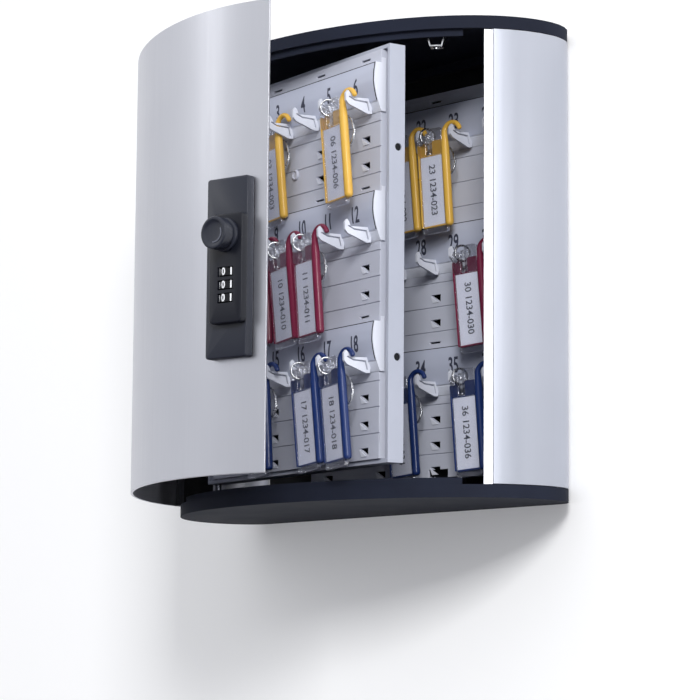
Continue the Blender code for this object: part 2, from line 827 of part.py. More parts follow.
def add_hook_strip(name, top, front, hook_x, left, right, reach, parent):
    """A bulging label strip with six hooks. reach is how far its right end goes back, from the face."""
    outline = [(front - out * MM, top - down * MM) for out, down in STRIP_PROFILE]
    bm = bmesh.new()
    prism_into(bm, outline, 0, left, right)
    strip = add_object(name, mesh_from(bm, name), parent, "grey_plastic")
    if reach > 0:
        end = [(front - 3.5 * MM, top), (front, top), (front, top + 3 * MM)]
        end += [(front + reach, top + 3 * MM), (front + reach, top - STRIP_HEIGHT)]
        end += [(front - 0.35 * MM, top - STRIP_HEIGHT), (front - 2.0 * MM, top - 24.5 * MM)]
        block = prism(name + "_end", end, 0, right - STRIP_END, right, parent)
        boolean(strip, block, "UNION")
    root = front - 2.4 * MM
    line = top - STRIP_LINE
    bm = bmesh.new()
    for index in range(HOOKS_PER_ROW):
        x = hook_x - HOOK_PITCH * index
        hook = [(root - out * MM, line + rise * MM) for out, rise in HOOK_PROFILE]
        prism_into(bm, hook, 0, x - HOOK_HALF, x + HOOK_HALF)
    hooks = add_object(name + "_hooks", mesh_from(bm, name + "_hooks"), parent)
    boolean(strip, hooks, "UNION")
    slot = [(root - out * MM, line + rise * MM) for out, rise in HOOK_SLOT]
    boolean(strip, prism(name + "_slot", slot, 0, left, right, parent))


def add_swing_panel(pivot):
    """The tray that opens forwards, the hook plate nested in it and three hook strips."""
    left = PANEL_PIVOT.x - 3 * MM
    right = left + PANEL_LENGTH
    front = PANEL_PIVOT.y - 5.9 * MM
    rear = front + TRAY_DEPTH
    tray = boxes(
        "swing_panel_tray",
        [((left, front, PANEL_LOW), (right, rear, PANEL_HIGH))],
        pivot,
        "grey_plastic",
    )
    hollow = boxes(
        "swing_panel_hollow",
        [
            (
                (left + TRAY_WALL, front - 1 * MM, PANEL_LOW + TRAY_WALL),
                (right - TRAY_WALL, rear - TRAY_WALL, PANEL_HIGH - TRAY_WALL),
            )
        ],
        pivot,
    )
    boolean(tray, hollow)
    x, y = PANEL_PIVOT.xy
    bores = [((x, y, low - 5 * MM), (x, y, low + 5 * MM)) for low in (PANEL_LOW, PANEL_HIGH)]
    for z in (203.3 * MM, 80.8 * MM):
        bores.append(((right - 4 * MM, y + 0.4 * MM, z), (right + 4 * MM, y + 0.4 * MM, z)))
    boolean(tray, rods("swing_panel_bores", bores, 2.3 * MM, pivot))

    face = front - 1.6 * MM
    plate_left = left + 9 * MM
    strip_right = right - 5.4 * MM
    plate_right = strip_right - STRIP_END - GAP
    hook_x = left + 186.6 * MM
    tops = row_tops(PANEL_STRIP_TOP, PANEL_ROW_PITCH)
    low = PANEL_LOW + TRAY_WALL + GAP
    high = PANEL_HIGH - TRAY_WALL - GAP
    plate = add_hook_plate(
        "swing_hook_plate",
        low,
        high,
        face,
        tops,
        hook_x - 7.4 * MM,
        (plate_left, plate_right),
        pivot,
    )
    bolt = Vector((left + 103.6 * MM, face, 201.4 * MM))
    boolean(plate, rods("swing_plate_bolt_hole", [(bolt, bolt + Vector((0, 9 * MM, 0)))], 1.6 * MM, pivot))
    head = [(bolt - Vector((0, 1.5 * MM, 0)), bolt - Vector((0, 0.3 * MM, 0)))]
    screw = rods("swing_plate_screw", head, 3.2 * MM, pivot, "steel")
    shank = [(bolt - Vector((0, 1 * MM, 0)), bolt + Vector((0, 9 * MM, 0)))]
    boolean(screw, rods("swing_plate_screw_shank", shank, 1.2 * MM, pivot), "UNION")
    for number, top in enumerate(tops, start=1):
        name = f"swing_hook_strip_{number}"
        add_hook_strip(name, top, face, hook_x, plate_left, strip_right, 2.6 * MM, pivot)
    return hook_x, face, tops


def add_back_panel(root):
    """The fixed hook plate on the back wall, with its three hook strips."""
    left, right = BACK_SPAN
    tops = row_tops(BACK_STRIP_TOP, BACK_ROW_PITCH)
    add_hook_plate(
        "back_hook_plate",
        PANEL_LOW,
        259.5 * MM,
        BACK_FRONT_Y,
        tops,
        BACK_HOOK_X - 11.5 * MM,
        (left, right),
        root,
        notch=True,
    )
    for number, top in enumerate(tops, start=1):
        name = f"back_hook_strip_{number}"
        add_hook_strip(name, top, BACK_FRONT_Y, BACK_HOOK_X, left, right, 0, root)
    return BACK_HOOK_X, BACK_FRONT_Y, tops


# ---------------------------------------------------------------- key tags


def tag_path():
    """The coloured spine and the crook over the hook, in the tag's plane: X, Z and radius."""
    low, tube = -SPINE_LENGTH, CROOK_TUBE / SPINE_RADIUS
    path = [(-CROOK_RADIUS, low, 0.4), (-CROOK_RADIUS, low + 0.5 * MM, 0.8)]
    path += [(-CROOK_RADIUS, low + 1.8 * MM, 1.0), (-CROOK_RADIUS, -7 * MM, 1.0)]
    steps, sweep = 8, 165
    for step in range(steps + 1):
        angle = math.radians(180 - sweep * step / steps)
        path.append((CROOK_RADIUS * math.cos(angle), CROOK_RADIUS * math.sin(angle), tube))
    x, z, _ = path[-1]
    turn = math.radians(90 - (180 - sweep))
    for reach, share in ((0.8 * MM, 0.85), (1.3 * MM, 0.4)):
        path.append((x + reach * math.cos(turn), z - reach * math.sin(turn), tube * share))
    return path


def tag_mesh():
    """A key tag: spine with crook, and the flat holder joined to its left side."""
    curve = bpy.data.curves.new("tag_spine", "CURVE")
    curve.dimensions = "3D"
    curve.bevel_depth = SPINE_RADIUS
    curve.bevel_resolution = 1
    curve.use_fill_caps = True
    spline = curve.splines.new("POLY")
    path = tag_path()
    spline.points.add(len(path) - 1)
    for point, (x, z, radius) in zip(spline.points, path):
        point.co = (x, 0, z, 1)
        point.radius = radius
    source = bpy.data.objects.new("tag_spine", curve)
    CUTTERS.objects.link(source)
    graph = bpy.context.evaluated_depsgraph_get()
    spine = bpy.data.meshes.new_from_object(source.evaluated_get(graph))
    bpy.data.objects.remove(source)
    bm = bmesh.new()
    bm.from_mesh(spine)
    bmesh.ops.remove_doubles(bm, verts=bm.verts, dist=0.00001)
    bmesh.ops.recalc_face_normals(bm, faces=bm.faces)
    bm.to_mesh(spine)
    bm.free()

    left, right = -TAG_WIDTH, -CROOK_RADIUS - 0.6 * MM
    low, top = -TAG_LENGTH, -3 * MM
    outline = [
        (left, low + 5 * MM),
        (left + 1.5 * MM, low + 1.5 * MM),
        (left + 5 * MM, low),
        (right - 5 * MM, low),
        (right - 1.5 * MM, low + 1.5 * MM),
        (right, low + 5 * MM),
        (right, top),
        (right - 4 * MM, top),
        (left + 5 * MM, top - 4 * MM),
        (left, top - 9 * MM),
    ]
    bm = bmesh.new()
    prism_into(bm, outline, 1, -TAG_THICKNESS / 2, TAG_THICKNESS / 2)
    holder = mesh_from(bm, "tag_holder")

    body = bpy.data.objects.new("tag_union", holder)
    other = bpy.data.objects.new("tag_union_spine", spine)
    for item in (body, other):
        CUTTERS.objects.link(item)
    boolean(body, other, "UNION")
    bpy.context.view_layer.update()
    graph = bpy.context.evaluated_depsgraph_get()
    mesh = bpy.data.meshes.new_from_object(body.evaluated_get(graph))
    for item in (body, other):
        bpy.data.objects.remove(item)
    mesh.name = "key_tag"
    return mesh


def add_tag(number, mesh, colour, x, face, top, parent):
    """Hangs one tag on its hook: its origin is the middle of its crook."""
    aside, out, up, yaw, tilt = HUNG_TAGS[number]
    root = face - 2.4 * MM
    place = Vector((x + aside * MM, root - out * MM, top - STRIP_LINE + up * MM))
    holder = add_empty(f"tag_{number:02d}_axis", place, 0, parent)
    tag = bpy.data.objects.new(f"key_tag_{number:02d}", mesh.copy())
    PARTS.objects.link(tag)
    tag.data.materials.clear()
    tag.data.materials.append(MATERIALS[colour])
    tag.parent = holder
    tag.rotation_euler = (0, math.radians(-tilt), math.radians(yaw))
    smooth(tag)


def add_tags(swing, back, swing_pivot, root):
    mesh = tag_mesh()
    colours = {0: "yellow_plastic", 1: "red_plastic", 2: "blue_plastic"}
    per_panel = 3 * HOOKS_PER_ROW
    for number in HUNG_TAGS:
        on_swing = number <= per_panel
        hook_x, face, tops = swing if on_swing else back
        row, column = divmod((number - 1) % per_panel, HOOKS_PER_ROW)
        x = hook_x - HOOK_PITCH * (HOOKS_PER_ROW - 1 - column)
        parent = swing_pivot if on_swing else root
        add_tag(number, mesh, colours[row], x, face, tops[row], parent)


def main():
    root = add_empty("case")
    root.location.z = -HEIGHT / 2
    add_case(root)
    add_strike(root)
    add_rails(root)
    door = add_empty("door_hinge", DOOR_PIVOT, -DOOR_OPEN, root)
    panel = add_empty("panel_hinge", PANEL_PIVOT, -PANEL_OPEN, root)
    add_door(door)
    place = lock_place()
    add_lock_plate(door, place)
    add_lock_housing(door, place)
    add_lock_rear(door, place)
    add_dials(door, place)
    add_knob(door, place)
    add_latch_rod(door, place)
    swing = add_swing_panel(panel)
    back = add_back_panel(root)
    add_tags(swing, back, panel, root)


main()
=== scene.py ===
"""Looks of the wall-mounted key cabinet: satin aluminium skins, textured end caps, hook panels
with numbered labels, a dial lock, and key tags with clear holders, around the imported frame.

Lengths are in metres. The case frame of the design has its bottom at z = 0, while the row frame
has its origin in the middle of the wall face, so design heights are lowered by half the height.
"""

import json
import math

import bmesh
import bpy
from mathutils import Matrix, Vector


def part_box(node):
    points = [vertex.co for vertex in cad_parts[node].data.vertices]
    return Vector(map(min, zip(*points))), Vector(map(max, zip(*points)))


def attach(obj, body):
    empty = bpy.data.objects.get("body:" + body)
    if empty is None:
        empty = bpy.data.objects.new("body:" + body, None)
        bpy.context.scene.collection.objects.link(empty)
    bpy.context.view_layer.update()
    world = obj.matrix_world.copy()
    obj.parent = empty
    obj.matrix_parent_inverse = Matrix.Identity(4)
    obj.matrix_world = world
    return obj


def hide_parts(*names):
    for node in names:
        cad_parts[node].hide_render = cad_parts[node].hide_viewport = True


MM = 0.001

# ---------------------------------------------------------------- design values shared with the frame

PANEL_OPEN = 8.95  # degrees, at rest
CENTRE_HEIGHT = 140 * MM

HOOK_PITCH = 28.6 * MM
HOOKS_PER_ROW = 6
STRIP_LINE = 23.3 * MM  # from a strip's top down to the line where the hooks start
STRIP_PROFILE = (  # (out from the plate's face, down from the strip's top), in mm
    (4.3, 0.0),
    (5.2, 5.0),
    (5.5, 11.0),
    (4.9, 15.4),
    (3.8, 20.0),
    (2.8, 23.0),
)
PANELS = {
    "swing": {
        "body": "swing_panel",
        "first": 1,
        "left": -92.9 * MM,
        "right": 93.7 * MM,
        "face": -76.6 * MM,
        "hook_x": 84.7 * MM,
        "top": 253.3 * MM,
        "pitch": 75.9 * MM,
        "column_x": 77.3 * MM,
        "column_end": -84.9 * MM,
    },
    "back": {
        "body": "cabinet",
        "first": 19,
        "left": -80 * MM,
        "right": 110 * MM,
        "face": -8 * MM,
        "hook_x": 94.3 * MM,
        "top": 249.9 * MM,
        "pitch": 75.25 * MM,
        "column_x": 82.8 * MM,
        "column_end": -72 * MM,
    },
}
COLUMN_PITCH = 48.8 * MM
ARROW_DROPS = (43.8 * MM, 59.3 * MM)
LAST_ARROW_DROP = 74.6 * MM
ARROW_SIZE = (8.4 * MM, 5 * MM)

TRAY_HOLE_HEIGHTS = (203.3 * MM, 80.8 * MM)

TAG_LEAN = {  # number: (yaw, tilt) in degrees
    3: (7, 7),
    6: (7, 6.5),
    9: (7, 4),
    10: (7, 8),
    11: (7.5, 5.8),
    15: (7, 4),
    17: (9, 7),
    18: (6.5, 7),
    22: (7, 5.5),
    23: (12, 4.2),
    30: (13, 5.2),
    34: (7, 5),
    36: (13, 4.5),
}
CUT_CORNERS = (22, 34)  # these tags swing closest to a neighbouring hook
CROOK_RADIUS = 5.6 * MM
CROOK_TUBE = 1.5 * MM
SPINE_RADIUS = 2.6 * MM
SPINE_LOW = -57.6 * MM
TAG_SLOT = (-18.8 * MM, -16 * MM)
HOLDER_EARS = {  # outlines in the tag's plane, in mm
    "full": ((-24.2, -12.2), (-19.3, -12.2), (-19.3, -3.4), (-22, -3.8), (-24.2, -6)),
    "cut": ((-24.6, -12.2), (-19.3, -12.2), (-19.3, -3.6), (-19.7, -6.7), (-20.4, -7.3)),
}
HOLDER_BORDERS = {
    "full": ((-25, -56.5), (-24, -56.5), (-24, -4.8), (-24.2, -4.6), (-25, -5.6)),
    "cut": ((-25, -56.5), (-24, -56.5), (-24, -12.4), (-19.9, -8.3), (-19.9, -7.1), (-25, -12.1)),
}
CUT_BLOCK_SIDE = (
    (-24.7, -12.6),
    (-18.8, -12.6),
    (-18.8, 1.3),
    (-19.7, -1),
    (-20.2, -7),
    (-24.7, -11.6),
)
TAG_COLOURS = ("tag_yellow", "tag_red", "tag_blue")  # one for each row of hooks

KNOB_RADIUS = 9.1 * MM
KNOB_LENGTH = 10.4 * MM
DIAL_RADIUS = 8 * MM
DIAL_THICKNESS = 4.6 * MM
DIAL_OFFSET = -7.5  # degrees from the window's middle to the digit 0

FONT_SIZE = 1.42  # for each unit of a digit's height

FINISH_OF_SLOT = {"hook_plastic": "hook_white", "dial_plastic": "dial_black"}
FINISH_OF_NODE = {
    "back_plate": "inner_plastic",
    "back_panel_ledge": "inner_plastic",
    "back_panel_rail": "inner_plastic",
    "door_hinge_profile": "inner_plastic",
    # the right side panel gets a darker copy of the aluminium: painted shade that dims its reflection
    "right_side_panel": "aluminium_painted_shade",
    "lock_housing": "lock_dark",
    # the tray gets a darker copy of the panel plastic: painted shade on its lit side
    "swing_panel_tray": "tray_plastic_painted_shade",
    # the hinge pins get a darkened steel: painted shade under the door
    "panel_hinge_pin_lower": "steel_painted_shade",
    "panel_hinge_pin_upper": "steel_painted_shade",
}
EDGE_RADII = {  # in mm
    "bottom_cap": 0.7,
    "top_cap": 0.7,
    "door_skin": 0.25,
    "right_side_panel": 0.25,
    "swing_panel_tray": 0.35,
    "swing_hook_plate": 0.25,
    "back_hook_plate": 0.25,
    "lock_plate": 0.4,
    "lock_housing": 0.3,
}

CAMERA_PLACE = Vector((1.2241, -1.1635, -0.2588))
CAMERA_AZIMUTH = 47.658
CAMERA_PITCH = 7.474
CAMERA_ROLL = 0.423
CAMERA_LENS = 140.29
SENSOR = 36

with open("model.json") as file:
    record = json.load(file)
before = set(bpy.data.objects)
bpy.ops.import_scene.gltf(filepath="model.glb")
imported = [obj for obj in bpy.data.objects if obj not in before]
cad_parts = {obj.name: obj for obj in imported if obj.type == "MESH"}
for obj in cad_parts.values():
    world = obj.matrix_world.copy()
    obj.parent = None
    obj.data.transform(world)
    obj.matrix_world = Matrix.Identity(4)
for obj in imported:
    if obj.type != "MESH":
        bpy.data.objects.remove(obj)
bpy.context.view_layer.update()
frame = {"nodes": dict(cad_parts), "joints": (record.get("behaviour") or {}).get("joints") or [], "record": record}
NODES = frame["nodes"]
JOINTS = {joint["name"]: joint for joint in frame["joints"]}
MATERIALS = {}


def srgb(red, green, blue):
    """A display colour, 0 to 255, as linear values."""

    def linear(value):
        share = value / 255
        return share / 12.92 if share <= 0.04045 else ((share + 0.055) / 1.055) ** 2.4

    return (linear(red), linear(green), linear(blue), 1)


# ---------------------------------------------------------------- materials


class Shader:
    """A material under construction: its nodes, its links and its Principled shader."""

    def __init__(self, name):
        self.material = bpy.data.materials.new(name)
        self.material.use_nodes = True
        self.tree = self.material.node_tree
        self.principled = self.tree.nodes["Principled BSDF"]
        MATERIALS[name] = self.material

    def set(self, **values):
        for name, value in values.items():
            self.principled.inputs[name.replace("_", " ").title()].default_value = value

    def node(self, kind, **inputs):
        made = self.tree.nodes.new(kind)
        for name, value in inputs.items():
            made.inputs[name.replace("_", " ").title()].default_value = value
        return made

    def link(self, source, target):
        self.tree.links.new(source, target)

    def coordinates(self, scale):
        place = self.node("ShaderNodeTexCoord")
        mapping = self.node("ShaderNodeMapping", scale=scale)
        self.link(place.outputs["Object"], mapping.inputs["Vector"])
        return mapping.outputs["Vector"]

    def noise(self, scale, detail, stretch=(1, 1, 1)):
        made = self.node("ShaderNodeTexNoise", scale=scale, detail=detail, roughness=0.55)
        self.link(self.coordinates(stretch), made.inputs["Vector"])
        return made.outputs["Fac"]

    def ramp(self, source, low, high, start=0.3, end=0.7):
        """Maps a noise value to numbers between low and high."""
        made = self.node("ShaderNodeMapRange")
        made.inputs["From Min"].default_value = start
        made.inputs["From Max"].default_value = end
        made.inputs["To Min"].default_value = low
        made.inputs["To Max"].default_value = high
        self.link(source, made.inputs["Value"])
        return made.outputs["Result"]

    def blend(self, source, first, second):
        """Maps a noise value to colours between two."""
        made = self.node("ShaderNodeValToRGB")
        made.color_ramp.elements[0].position = 0.3
        made.color_ramp.elements[0].color = first
        made.color_ramp.elements[1].position = 0.7
        made.color_ramp.elements[1].color = second
        self.link(source, made.inputs["Fac"])
        return made.outputs["Color"]

    def colour(self, source, first, second):
        self.link(self.blend(source, first, second), self.principled.inputs["Base Color"])

    def roughness(self, source, low, high):
        self.link(self.ramp(source, low, high), self.principled.inputs["Roughness"])

    def bump(self, source, strength, distance):
        made = self.node("ShaderNodeBump", strength=strength, distance=distance)
        self.link(source, made.inputs["Height"])
        self.link(made.outputs["Normal"], self.principled.inputs["Normal"])


def make_aluminium(name, first, second, smooth, rough):
    """Anodised extrusion: fine lines run up the skin, with a faint cloudy variation."""
    shader = Shader(name)
    shader.set(metallic=1.0)
    lines = shader.noise(260, 4, (9, 9, 0.05))
    clouds = shader.noise(7, 2)
    shader.colour(clouds, first, second)
    shader.roughness(lines, smooth, rough)
    shader.bump(lines, 0.03, 0.02 * MM)


def make_plastic(name, first, second, grain, strength, rough, shine, coat=0.0):
    """Moulded plastic with a spark-eroded grain and slightly uneven gloss."""
    shader = Shader(name)
    shader.principled.inputs["Specular IOR Level"].default_value = shine
    shader.set(coat_weight=coat)
    fine = shader.noise(grain, 4)
    cloud = shader.noise(18, 3)
    shader.colour(cloud, first, second)
    shader.roughness(cloud, rough - 0.05, rough + 0.06)
    shader.bump(fine, strength, 0.06 * MM)


def make_steel(name, first, second):
    """Plated steel with fine drawn streaks."""
    shader = Shader(name)
    shader.set(metallic=1.0)
    streaks = shader.noise(900, 3, (1, 1, 0.2))
    shader.colour(streaks, first, second)
    shader.roughness(streaks, 0.18, 0.34)
    shader.bump(streaks, 0.08, 0.02 * MM)


def make_paper():
    shader = Shader("paper")
    fibre = shader.noise(1400, 5)
    shader.colour(fibre, srgb(226, 229, 245), srgb(240, 242, 252))
    shader.roughness(fibre, 0.6, 0.8)
    shader.bump(fibre, 0.1, 0.03 * MM)


def make_ink(name, first, second):
    shader = Shader(name)
    speck = shader.noise(2500, 3)
    shader.colour(speck, first, second)
    shader.roughness(speck, 0.5, 0.7)


def make_clear(name, grain, strength, least):
    """Clear plastic: little shows head on, its edges shine, and thick parts glint."""
    shader = Shader(name)
    shader.set(metallic=1.0)
    flow = shader.noise(grain, 2)
    shader.colour(flow, srgb(236, 238, 246), srgb(252, 252, 255))
    shader.roughness(flow, 0.03, 0.1)
    weight = shader.node("ShaderNodeLayerWeight", blend=0.2)
    shader.link(
        shader.ramp(weight.outputs["Facing"], least, 0.95, 0.0, 1.0),
        shader.principled.inputs["Alpha"],
    )
    shader.bump(flow, strength, 0.4 * MM)


def make_materials():
    make_aluminium("aluminium", srgb(199, 200, 207), srgb(208, 209, 215), 0.3, 0.44)
    # a darker copy of the aluminium for the right side panel: painted shade that dims its reflection
    make_aluminium("aluminium_painted_shade", srgb(178, 182, 192), srgb(188, 191, 201), 0.3, 0.4)
    make_steel("steel", srgb(176, 178, 182), srgb(214, 215, 218))
    # darkened steel for the hinge pins: painted shade
    make_steel("steel_painted_shade", srgb(58, 60, 66), srgb(82, 84, 90))
    make_paper()
    make_clear("clear_plastic", 120, 0.15, 0.07)
    make_clear("clear_thick", 420, 1.0, 0.3)
    make_plastic("case_plastic", srgb(30, 33, 44), srgb(36, 40, 53), 1500, 0.35, 0.65, 0.07)
    make_plastic("inner_plastic", srgb(16, 17, 21), srgb(21, 22, 27), 1500, 0.35, 0.6, 0.25)
    make_plastic("lock_plastic", srgb(30, 33, 43), srgb(36, 39, 50), 1700, 0.3, 0.34, 0.4)
    make_plastic("lock_dark", srgb(17, 19, 27), srgb(22, 24, 33), 1700, 0.3, 0.34, 0.3)
    # a darker copy of the panel plastic for the tray: painted shade
    make_plastic("tray_plastic_painted_shade", srgb(166, 170, 183), srgb(173, 177, 190), 1300, 0.15, 0.42, 0.3)
    # a lighter plastic for the arc on the knob's face: painted highlight
    make_plastic("knob_arc_highlight", srgb(78, 81, 92), srgb(90, 93, 104), 1700, 0.3, 0.4, 0.3)
    make_plastic("panel_plastic", srgb(184, 187, 200), srgb(190, 193, 205), 1300, 0.15, 0.42, 0.35)
    make_plastic("label_grey", srgb(180, 185, 202), srgb(187, 192, 209), 2200, 0.08, 0.38, 0.4)
    make_plastic("hook_white", srgb(205, 208, 219), srgb(213, 216, 226), 1300, 0.08, 0.35, 0.4)
    make_plastic("dial_black", srgb(9, 10, 13), srgb(13, 14, 18), 1500, 0.15, 0.4, 0.3)
    make_plastic("tag_yellow", srgb(206, 160, 60), srgb(216, 172, 76), 240, 0.06, 0.28, 0.4, 0.2)
    make_plastic("tag_red", srgb(102, 25, 52), srgb(116, 31, 60), 240, 0.06, 0.28, 0.4, 0.2)
    make_plastic("tag_blue", srgb(20, 40, 90), srgb(26, 48, 102), 240, 0.06, 0.28, 0.4, 0.2)
    make_ink("print_dark", srgb(52, 55, 72), srgb(66, 69, 86))
    make_ink("print_white", srgb(226, 228, 232), srgb(244, 245, 248))


# ---------------------------------------------------------------- mesh helpers


def link(obj):
    bpy.context.scene.collection.objects.link(obj)
    return obj


def add_piece(name, mesh, material, body, place):
    """A visible piece of the object, placed in the row frame and moving with a body."""
    made = link(bpy.data.objects.new(name, mesh))
    mesh.materials.clear()
    mesh.materials.append(MATERIALS[material])
    made.matrix_world = place
    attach(made, body)
    return made


def rotation(degrees, axis):
    return Matrix.Rotation(math.radians(degrees), 4, axis)


def to_mesh(bm, name, smooth_angle=35):
    bmesh.ops.recalc_face_normals(bm, faces=bm.faces)
    mesh = bpy.data.meshes.new(name)
    bm.to_mesh(mesh)
    bm.free()
    mesh.shade_smooth()
    mesh.set_sharp_from_angle(angle=math.radians(smooth_angle))
    return mesh


def sweep_faces(bm, faces, along):
    """Extrudes faces along a vector."""
    swept = bmesh.ops.extrude_face_region(bm, geom=faces)["geom"]
    moved = [item for item in swept if isinstance(item, bmesh.types.BMVert)]
    bmesh.ops.translate(bm, verts=moved, vec=along)


def prism_into(bm, points, low, high):
    """Extrudes a closed outline in X and Z from y = low to y = high."""
    spots = [bm.verts.new((x, low, z)) for x, z in points]
    ring = [bm.edges.new((spots[i - 1], spots[i])) for i in range(len(spots))]
    sweep_faces(bm, bmesh.ops.contextual_create(bm, geom=ring)["faces"], (0, high - low, 0))


def in_mm(points):
    return [(x * MM, z * MM) for x, z in points]


def rounded(left, right, low, high, radius, steps=5):
    """The outline of a rectangle with round corners."""
    corners = (
        (right - radius, high - radius, 0),
        (left + radius, high - radius, 90),
        (left + radius, low + radius, 180),
        (right - radius, low + radius, 270),
    )
    points = []
    for x, z, start in corners:
        for step in range(steps + 1):
            angle = math.radians(start + 90 * step / steps)
            points.append((x + radius * math.cos(angle), z + radius * math.sin(angle)))
    return points


def turned(name, profile, steps=96):
    """A solid of revolution about Z from (radius, height) points, from the axis to the axis."""
    bm = bmesh.new()
    rings = []
    for radius, height in profile:
        if radius == 0:
            rings.append([bm.verts.new((0, 0, height))])
            continue
        turns = [2 * math.pi * step / steps for step in range(steps)]
        rings.append([bm.verts.new((radius * math.cos(t), radius * math.sin(t), height)) for t in turns])
    for upper, lower in zip(rings, rings[1:]):
        for step in range(steps):
            after = (step + 1) % steps
            corners = [upper[step % len(upper)], lower[step % len(lower)]]
            corners += [lower[after % len(lower)], upper[after % len(upper)]]
            bm.faces.new(list(dict.fromkeys(corners)))
    return to_mesh(bm, name)


def curve_mesh(name, curve):
    """The mesh of a curve or of text."""
    source = link(bpy.data.objects.new(name, curve))
    graph = bpy.context.evaluated_depsgraph_get()
    mesh = bpy.data.meshes.new_from_object(source.evaluated_get(graph))
    bpy.data.objects.remove(source)
    return mesh


def tube(name, path, radius, resolution):
    """A round wire through points (x, y, z, share of the radius), as a mesh with closed ends."""
    curve = bpy.data.curves.new(name, "CURVE")
    curve.dimensions = "3D"
    curve.bevel_depth = radius
    curve.bevel_resolution = resolution
    curve.use_fill_caps = True
    spline = curve.splines.new("POLY")
    spline.points.add(len(path) - 1)
    for point, (x, y, z, share) in zip(spline.points, path):
        point.co = (x, y, z, 1)
        point.radius = share
    bm = bmesh.new()
    bm.from_mesh(curve_mesh(name, curve))
    bmesh.ops.remove_doubles(bm, verts=bm.verts, dist=0.001 * MM)
    return to_mesh(bm, name, 50)


def slice_mesh(mesh, low, high, step):
    """Cuts a mesh at regular heights, so that it can follow a bulge."""
    bm = bmesh.new()
    bm.from_mesh(mesh)
    height = low + step
    while height < high:
        geometry = bm.verts[:] + bm.edges[:] + bm.faces[:]
        bmesh.ops.bisect_plane(bm, geom=geometry, plane_co=(0, 0, height), plane_no=(0, 0, 1))
        height += step
    bm.to_mesh(mesh)
    bm.free()


def text_mesh(name, text, height, thickness, weight):
    """Digits as a thin solid in X and Z, centred, facing -Y, with capitals of that height."""
    curve = bpy.data.curves.new(name, "FONT")
    curve.body = text
    curve.size = height * FONT_SIZE
    curve.align_x = "CENTER"
    curve.align_y = "CENTER"
    curve.extrude = thickness / 2
    curve.offset = weight * height
    curve.resolution_u = 4
    mesh = curve_mesh(name, curve)
    mesh.transform(rotation(90, "X"))
    return mesh


def join_meshes(name, meshes):
    """One mesh of several, each with a placing matrix."""
    bm = bmesh.new()
    for mesh, place in meshes:
        part = mesh.copy()
        part.transform(place)
        bm.from_mesh(part)
        bpy.data.meshes.remove(part)
    made = bpy.data.meshes.new(name)
    bm.to_mesh(made)
    bm.free()
    return made


def bevel(obj, width):
    """Rounds the sharp edges of a piece."""
    made = obj.modifiers.new("edges", "BEVEL")
    made.width = width
    made.segments = 2
    made.limit_method = "ANGLE"
    made.angle_limit = math.radians(35)
    made.harden_normals = True


# ---------------------------------------------------------------- carried-over nodes


def shading_group():
    """Joins a node's split points and shades its shallow edges smooth."""
    group = bpy.data.node_groups.new("soft_shading", "GeometryNodeTree")
    for direction in ("INPUT", "OUTPUT"):
        group.interface.new_socket("Geometry", in_out=direction, socket_type="NodeSocketGeometry")
    entry = group.nodes.new("NodeGroupInput")
    leave = group.nodes.new("NodeGroupOutput")
    clean = group.nodes.new("GeometryNodeRemoveAttribute")
    clean.inputs["Name"].default_value = "custom_normal"
    merge = group.nodes.new("GeometryNodeMergeByDistance")
    merge.inputs["Distance"].default_value = 0.002 * MM
    faces = group.nodes.new("GeometryNodeSetShadeSmooth")
    edges = group.nodes.new("GeometryNodeSetShadeSmooth")
    edges.domain = "EDGE"
    edges.inputs["Shade Smooth"].default_value = False
    angle = group.nodes.new("GeometryNodeInputMeshEdgeAngle")
    steep = group.nodes.new("FunctionNodeCompare")
    steep.operation = "GREATER_THAN"
    steep.inputs["B"].default_value = math.radians(32)
    group.links.new(angle.outputs["Unsigned Angle"], steep.inputs["A"])
    group.links.new(steep.outputs["Result"], edges.inputs["Selection"])
    chain = [entry, clean, merge, faces, edges, leave]
    for before, after in zip(chain, chain[1:]):
        group.links.new(before.outputs[0], after.inputs[0])
    return group


def dress_nodes():
    """Materials, smooth shading and small edge radii on the nodes that keep their shape."""
    group = shading_group()
    for part in frame["record"]["subparts"]:
        name = part["node"]
        obj = NODES[name]
        slot_name = part["material_slot"]
        finish = FINISH_OF_NODE.get(name, FINISH_OF_SLOT.get(slot_name, slot_name))
        for slot in obj.material_slots:
            slot.material = MATERIALS[finish]
        made = obj.modifiers.new("soft_shading", "NODES")
        made.node_group = group
        if name in EDGE_RADII:
            bevel(obj, EDGE_RADII[name] * MM)


# ---------------------------------------------------------------- hook panels


def panel_place(kind):
    """From the closed panel's place in the case frame to the row frame at rest."""
    lower = Matrix.Translation((0, 0, -CENTRE_HEIGHT))
    if kind == "back":
        return lower
    pivot = Vector(JOINTS["panel_hinge"]["pos_m"])
    return lower @ Matrix.Translation(pivot) @ rotation(-PANEL_OPEN, "Z") @ Matrix.Translation(-pivot)


def strip_out(down):
    """How far a label strip stands out at a depth below its top."""
    depth = down / MM
    for (near, start), (far, end) in zip(STRIP_PROFILE, STRIP_PROFILE[1:]):
        if depth <= end:
            return (near + (far - near) * (depth - start) / (end - start)) * MM
    return STRIP_PROFILE[-1][0] * MM


def sheet_mesh(panel, top, left, right, first, last):
    """A thin sheet between two ends and two depths that follows the strip's bulge."""
    steps = 16
    rise, thickness = 0.1 * MM, 0.25 * MM
    downs = [first + (last - first) * step / steps for step in range(steps + 1)]
    outer = [(panel["face"] - strip_out(down) - rise - thickness, top - down) for down in downs]
    inner = [(y + thickness, z) for y, z in reversed(outer)]
    bm = bmesh.new()
    spots = [bm.verts.new((left, y, z)) for y, z in outer + inner]
    sweep_faces(bm, [bm.faces.new(spots)], (right - left, 0, 0))
    return to_mesh(bm, "label")


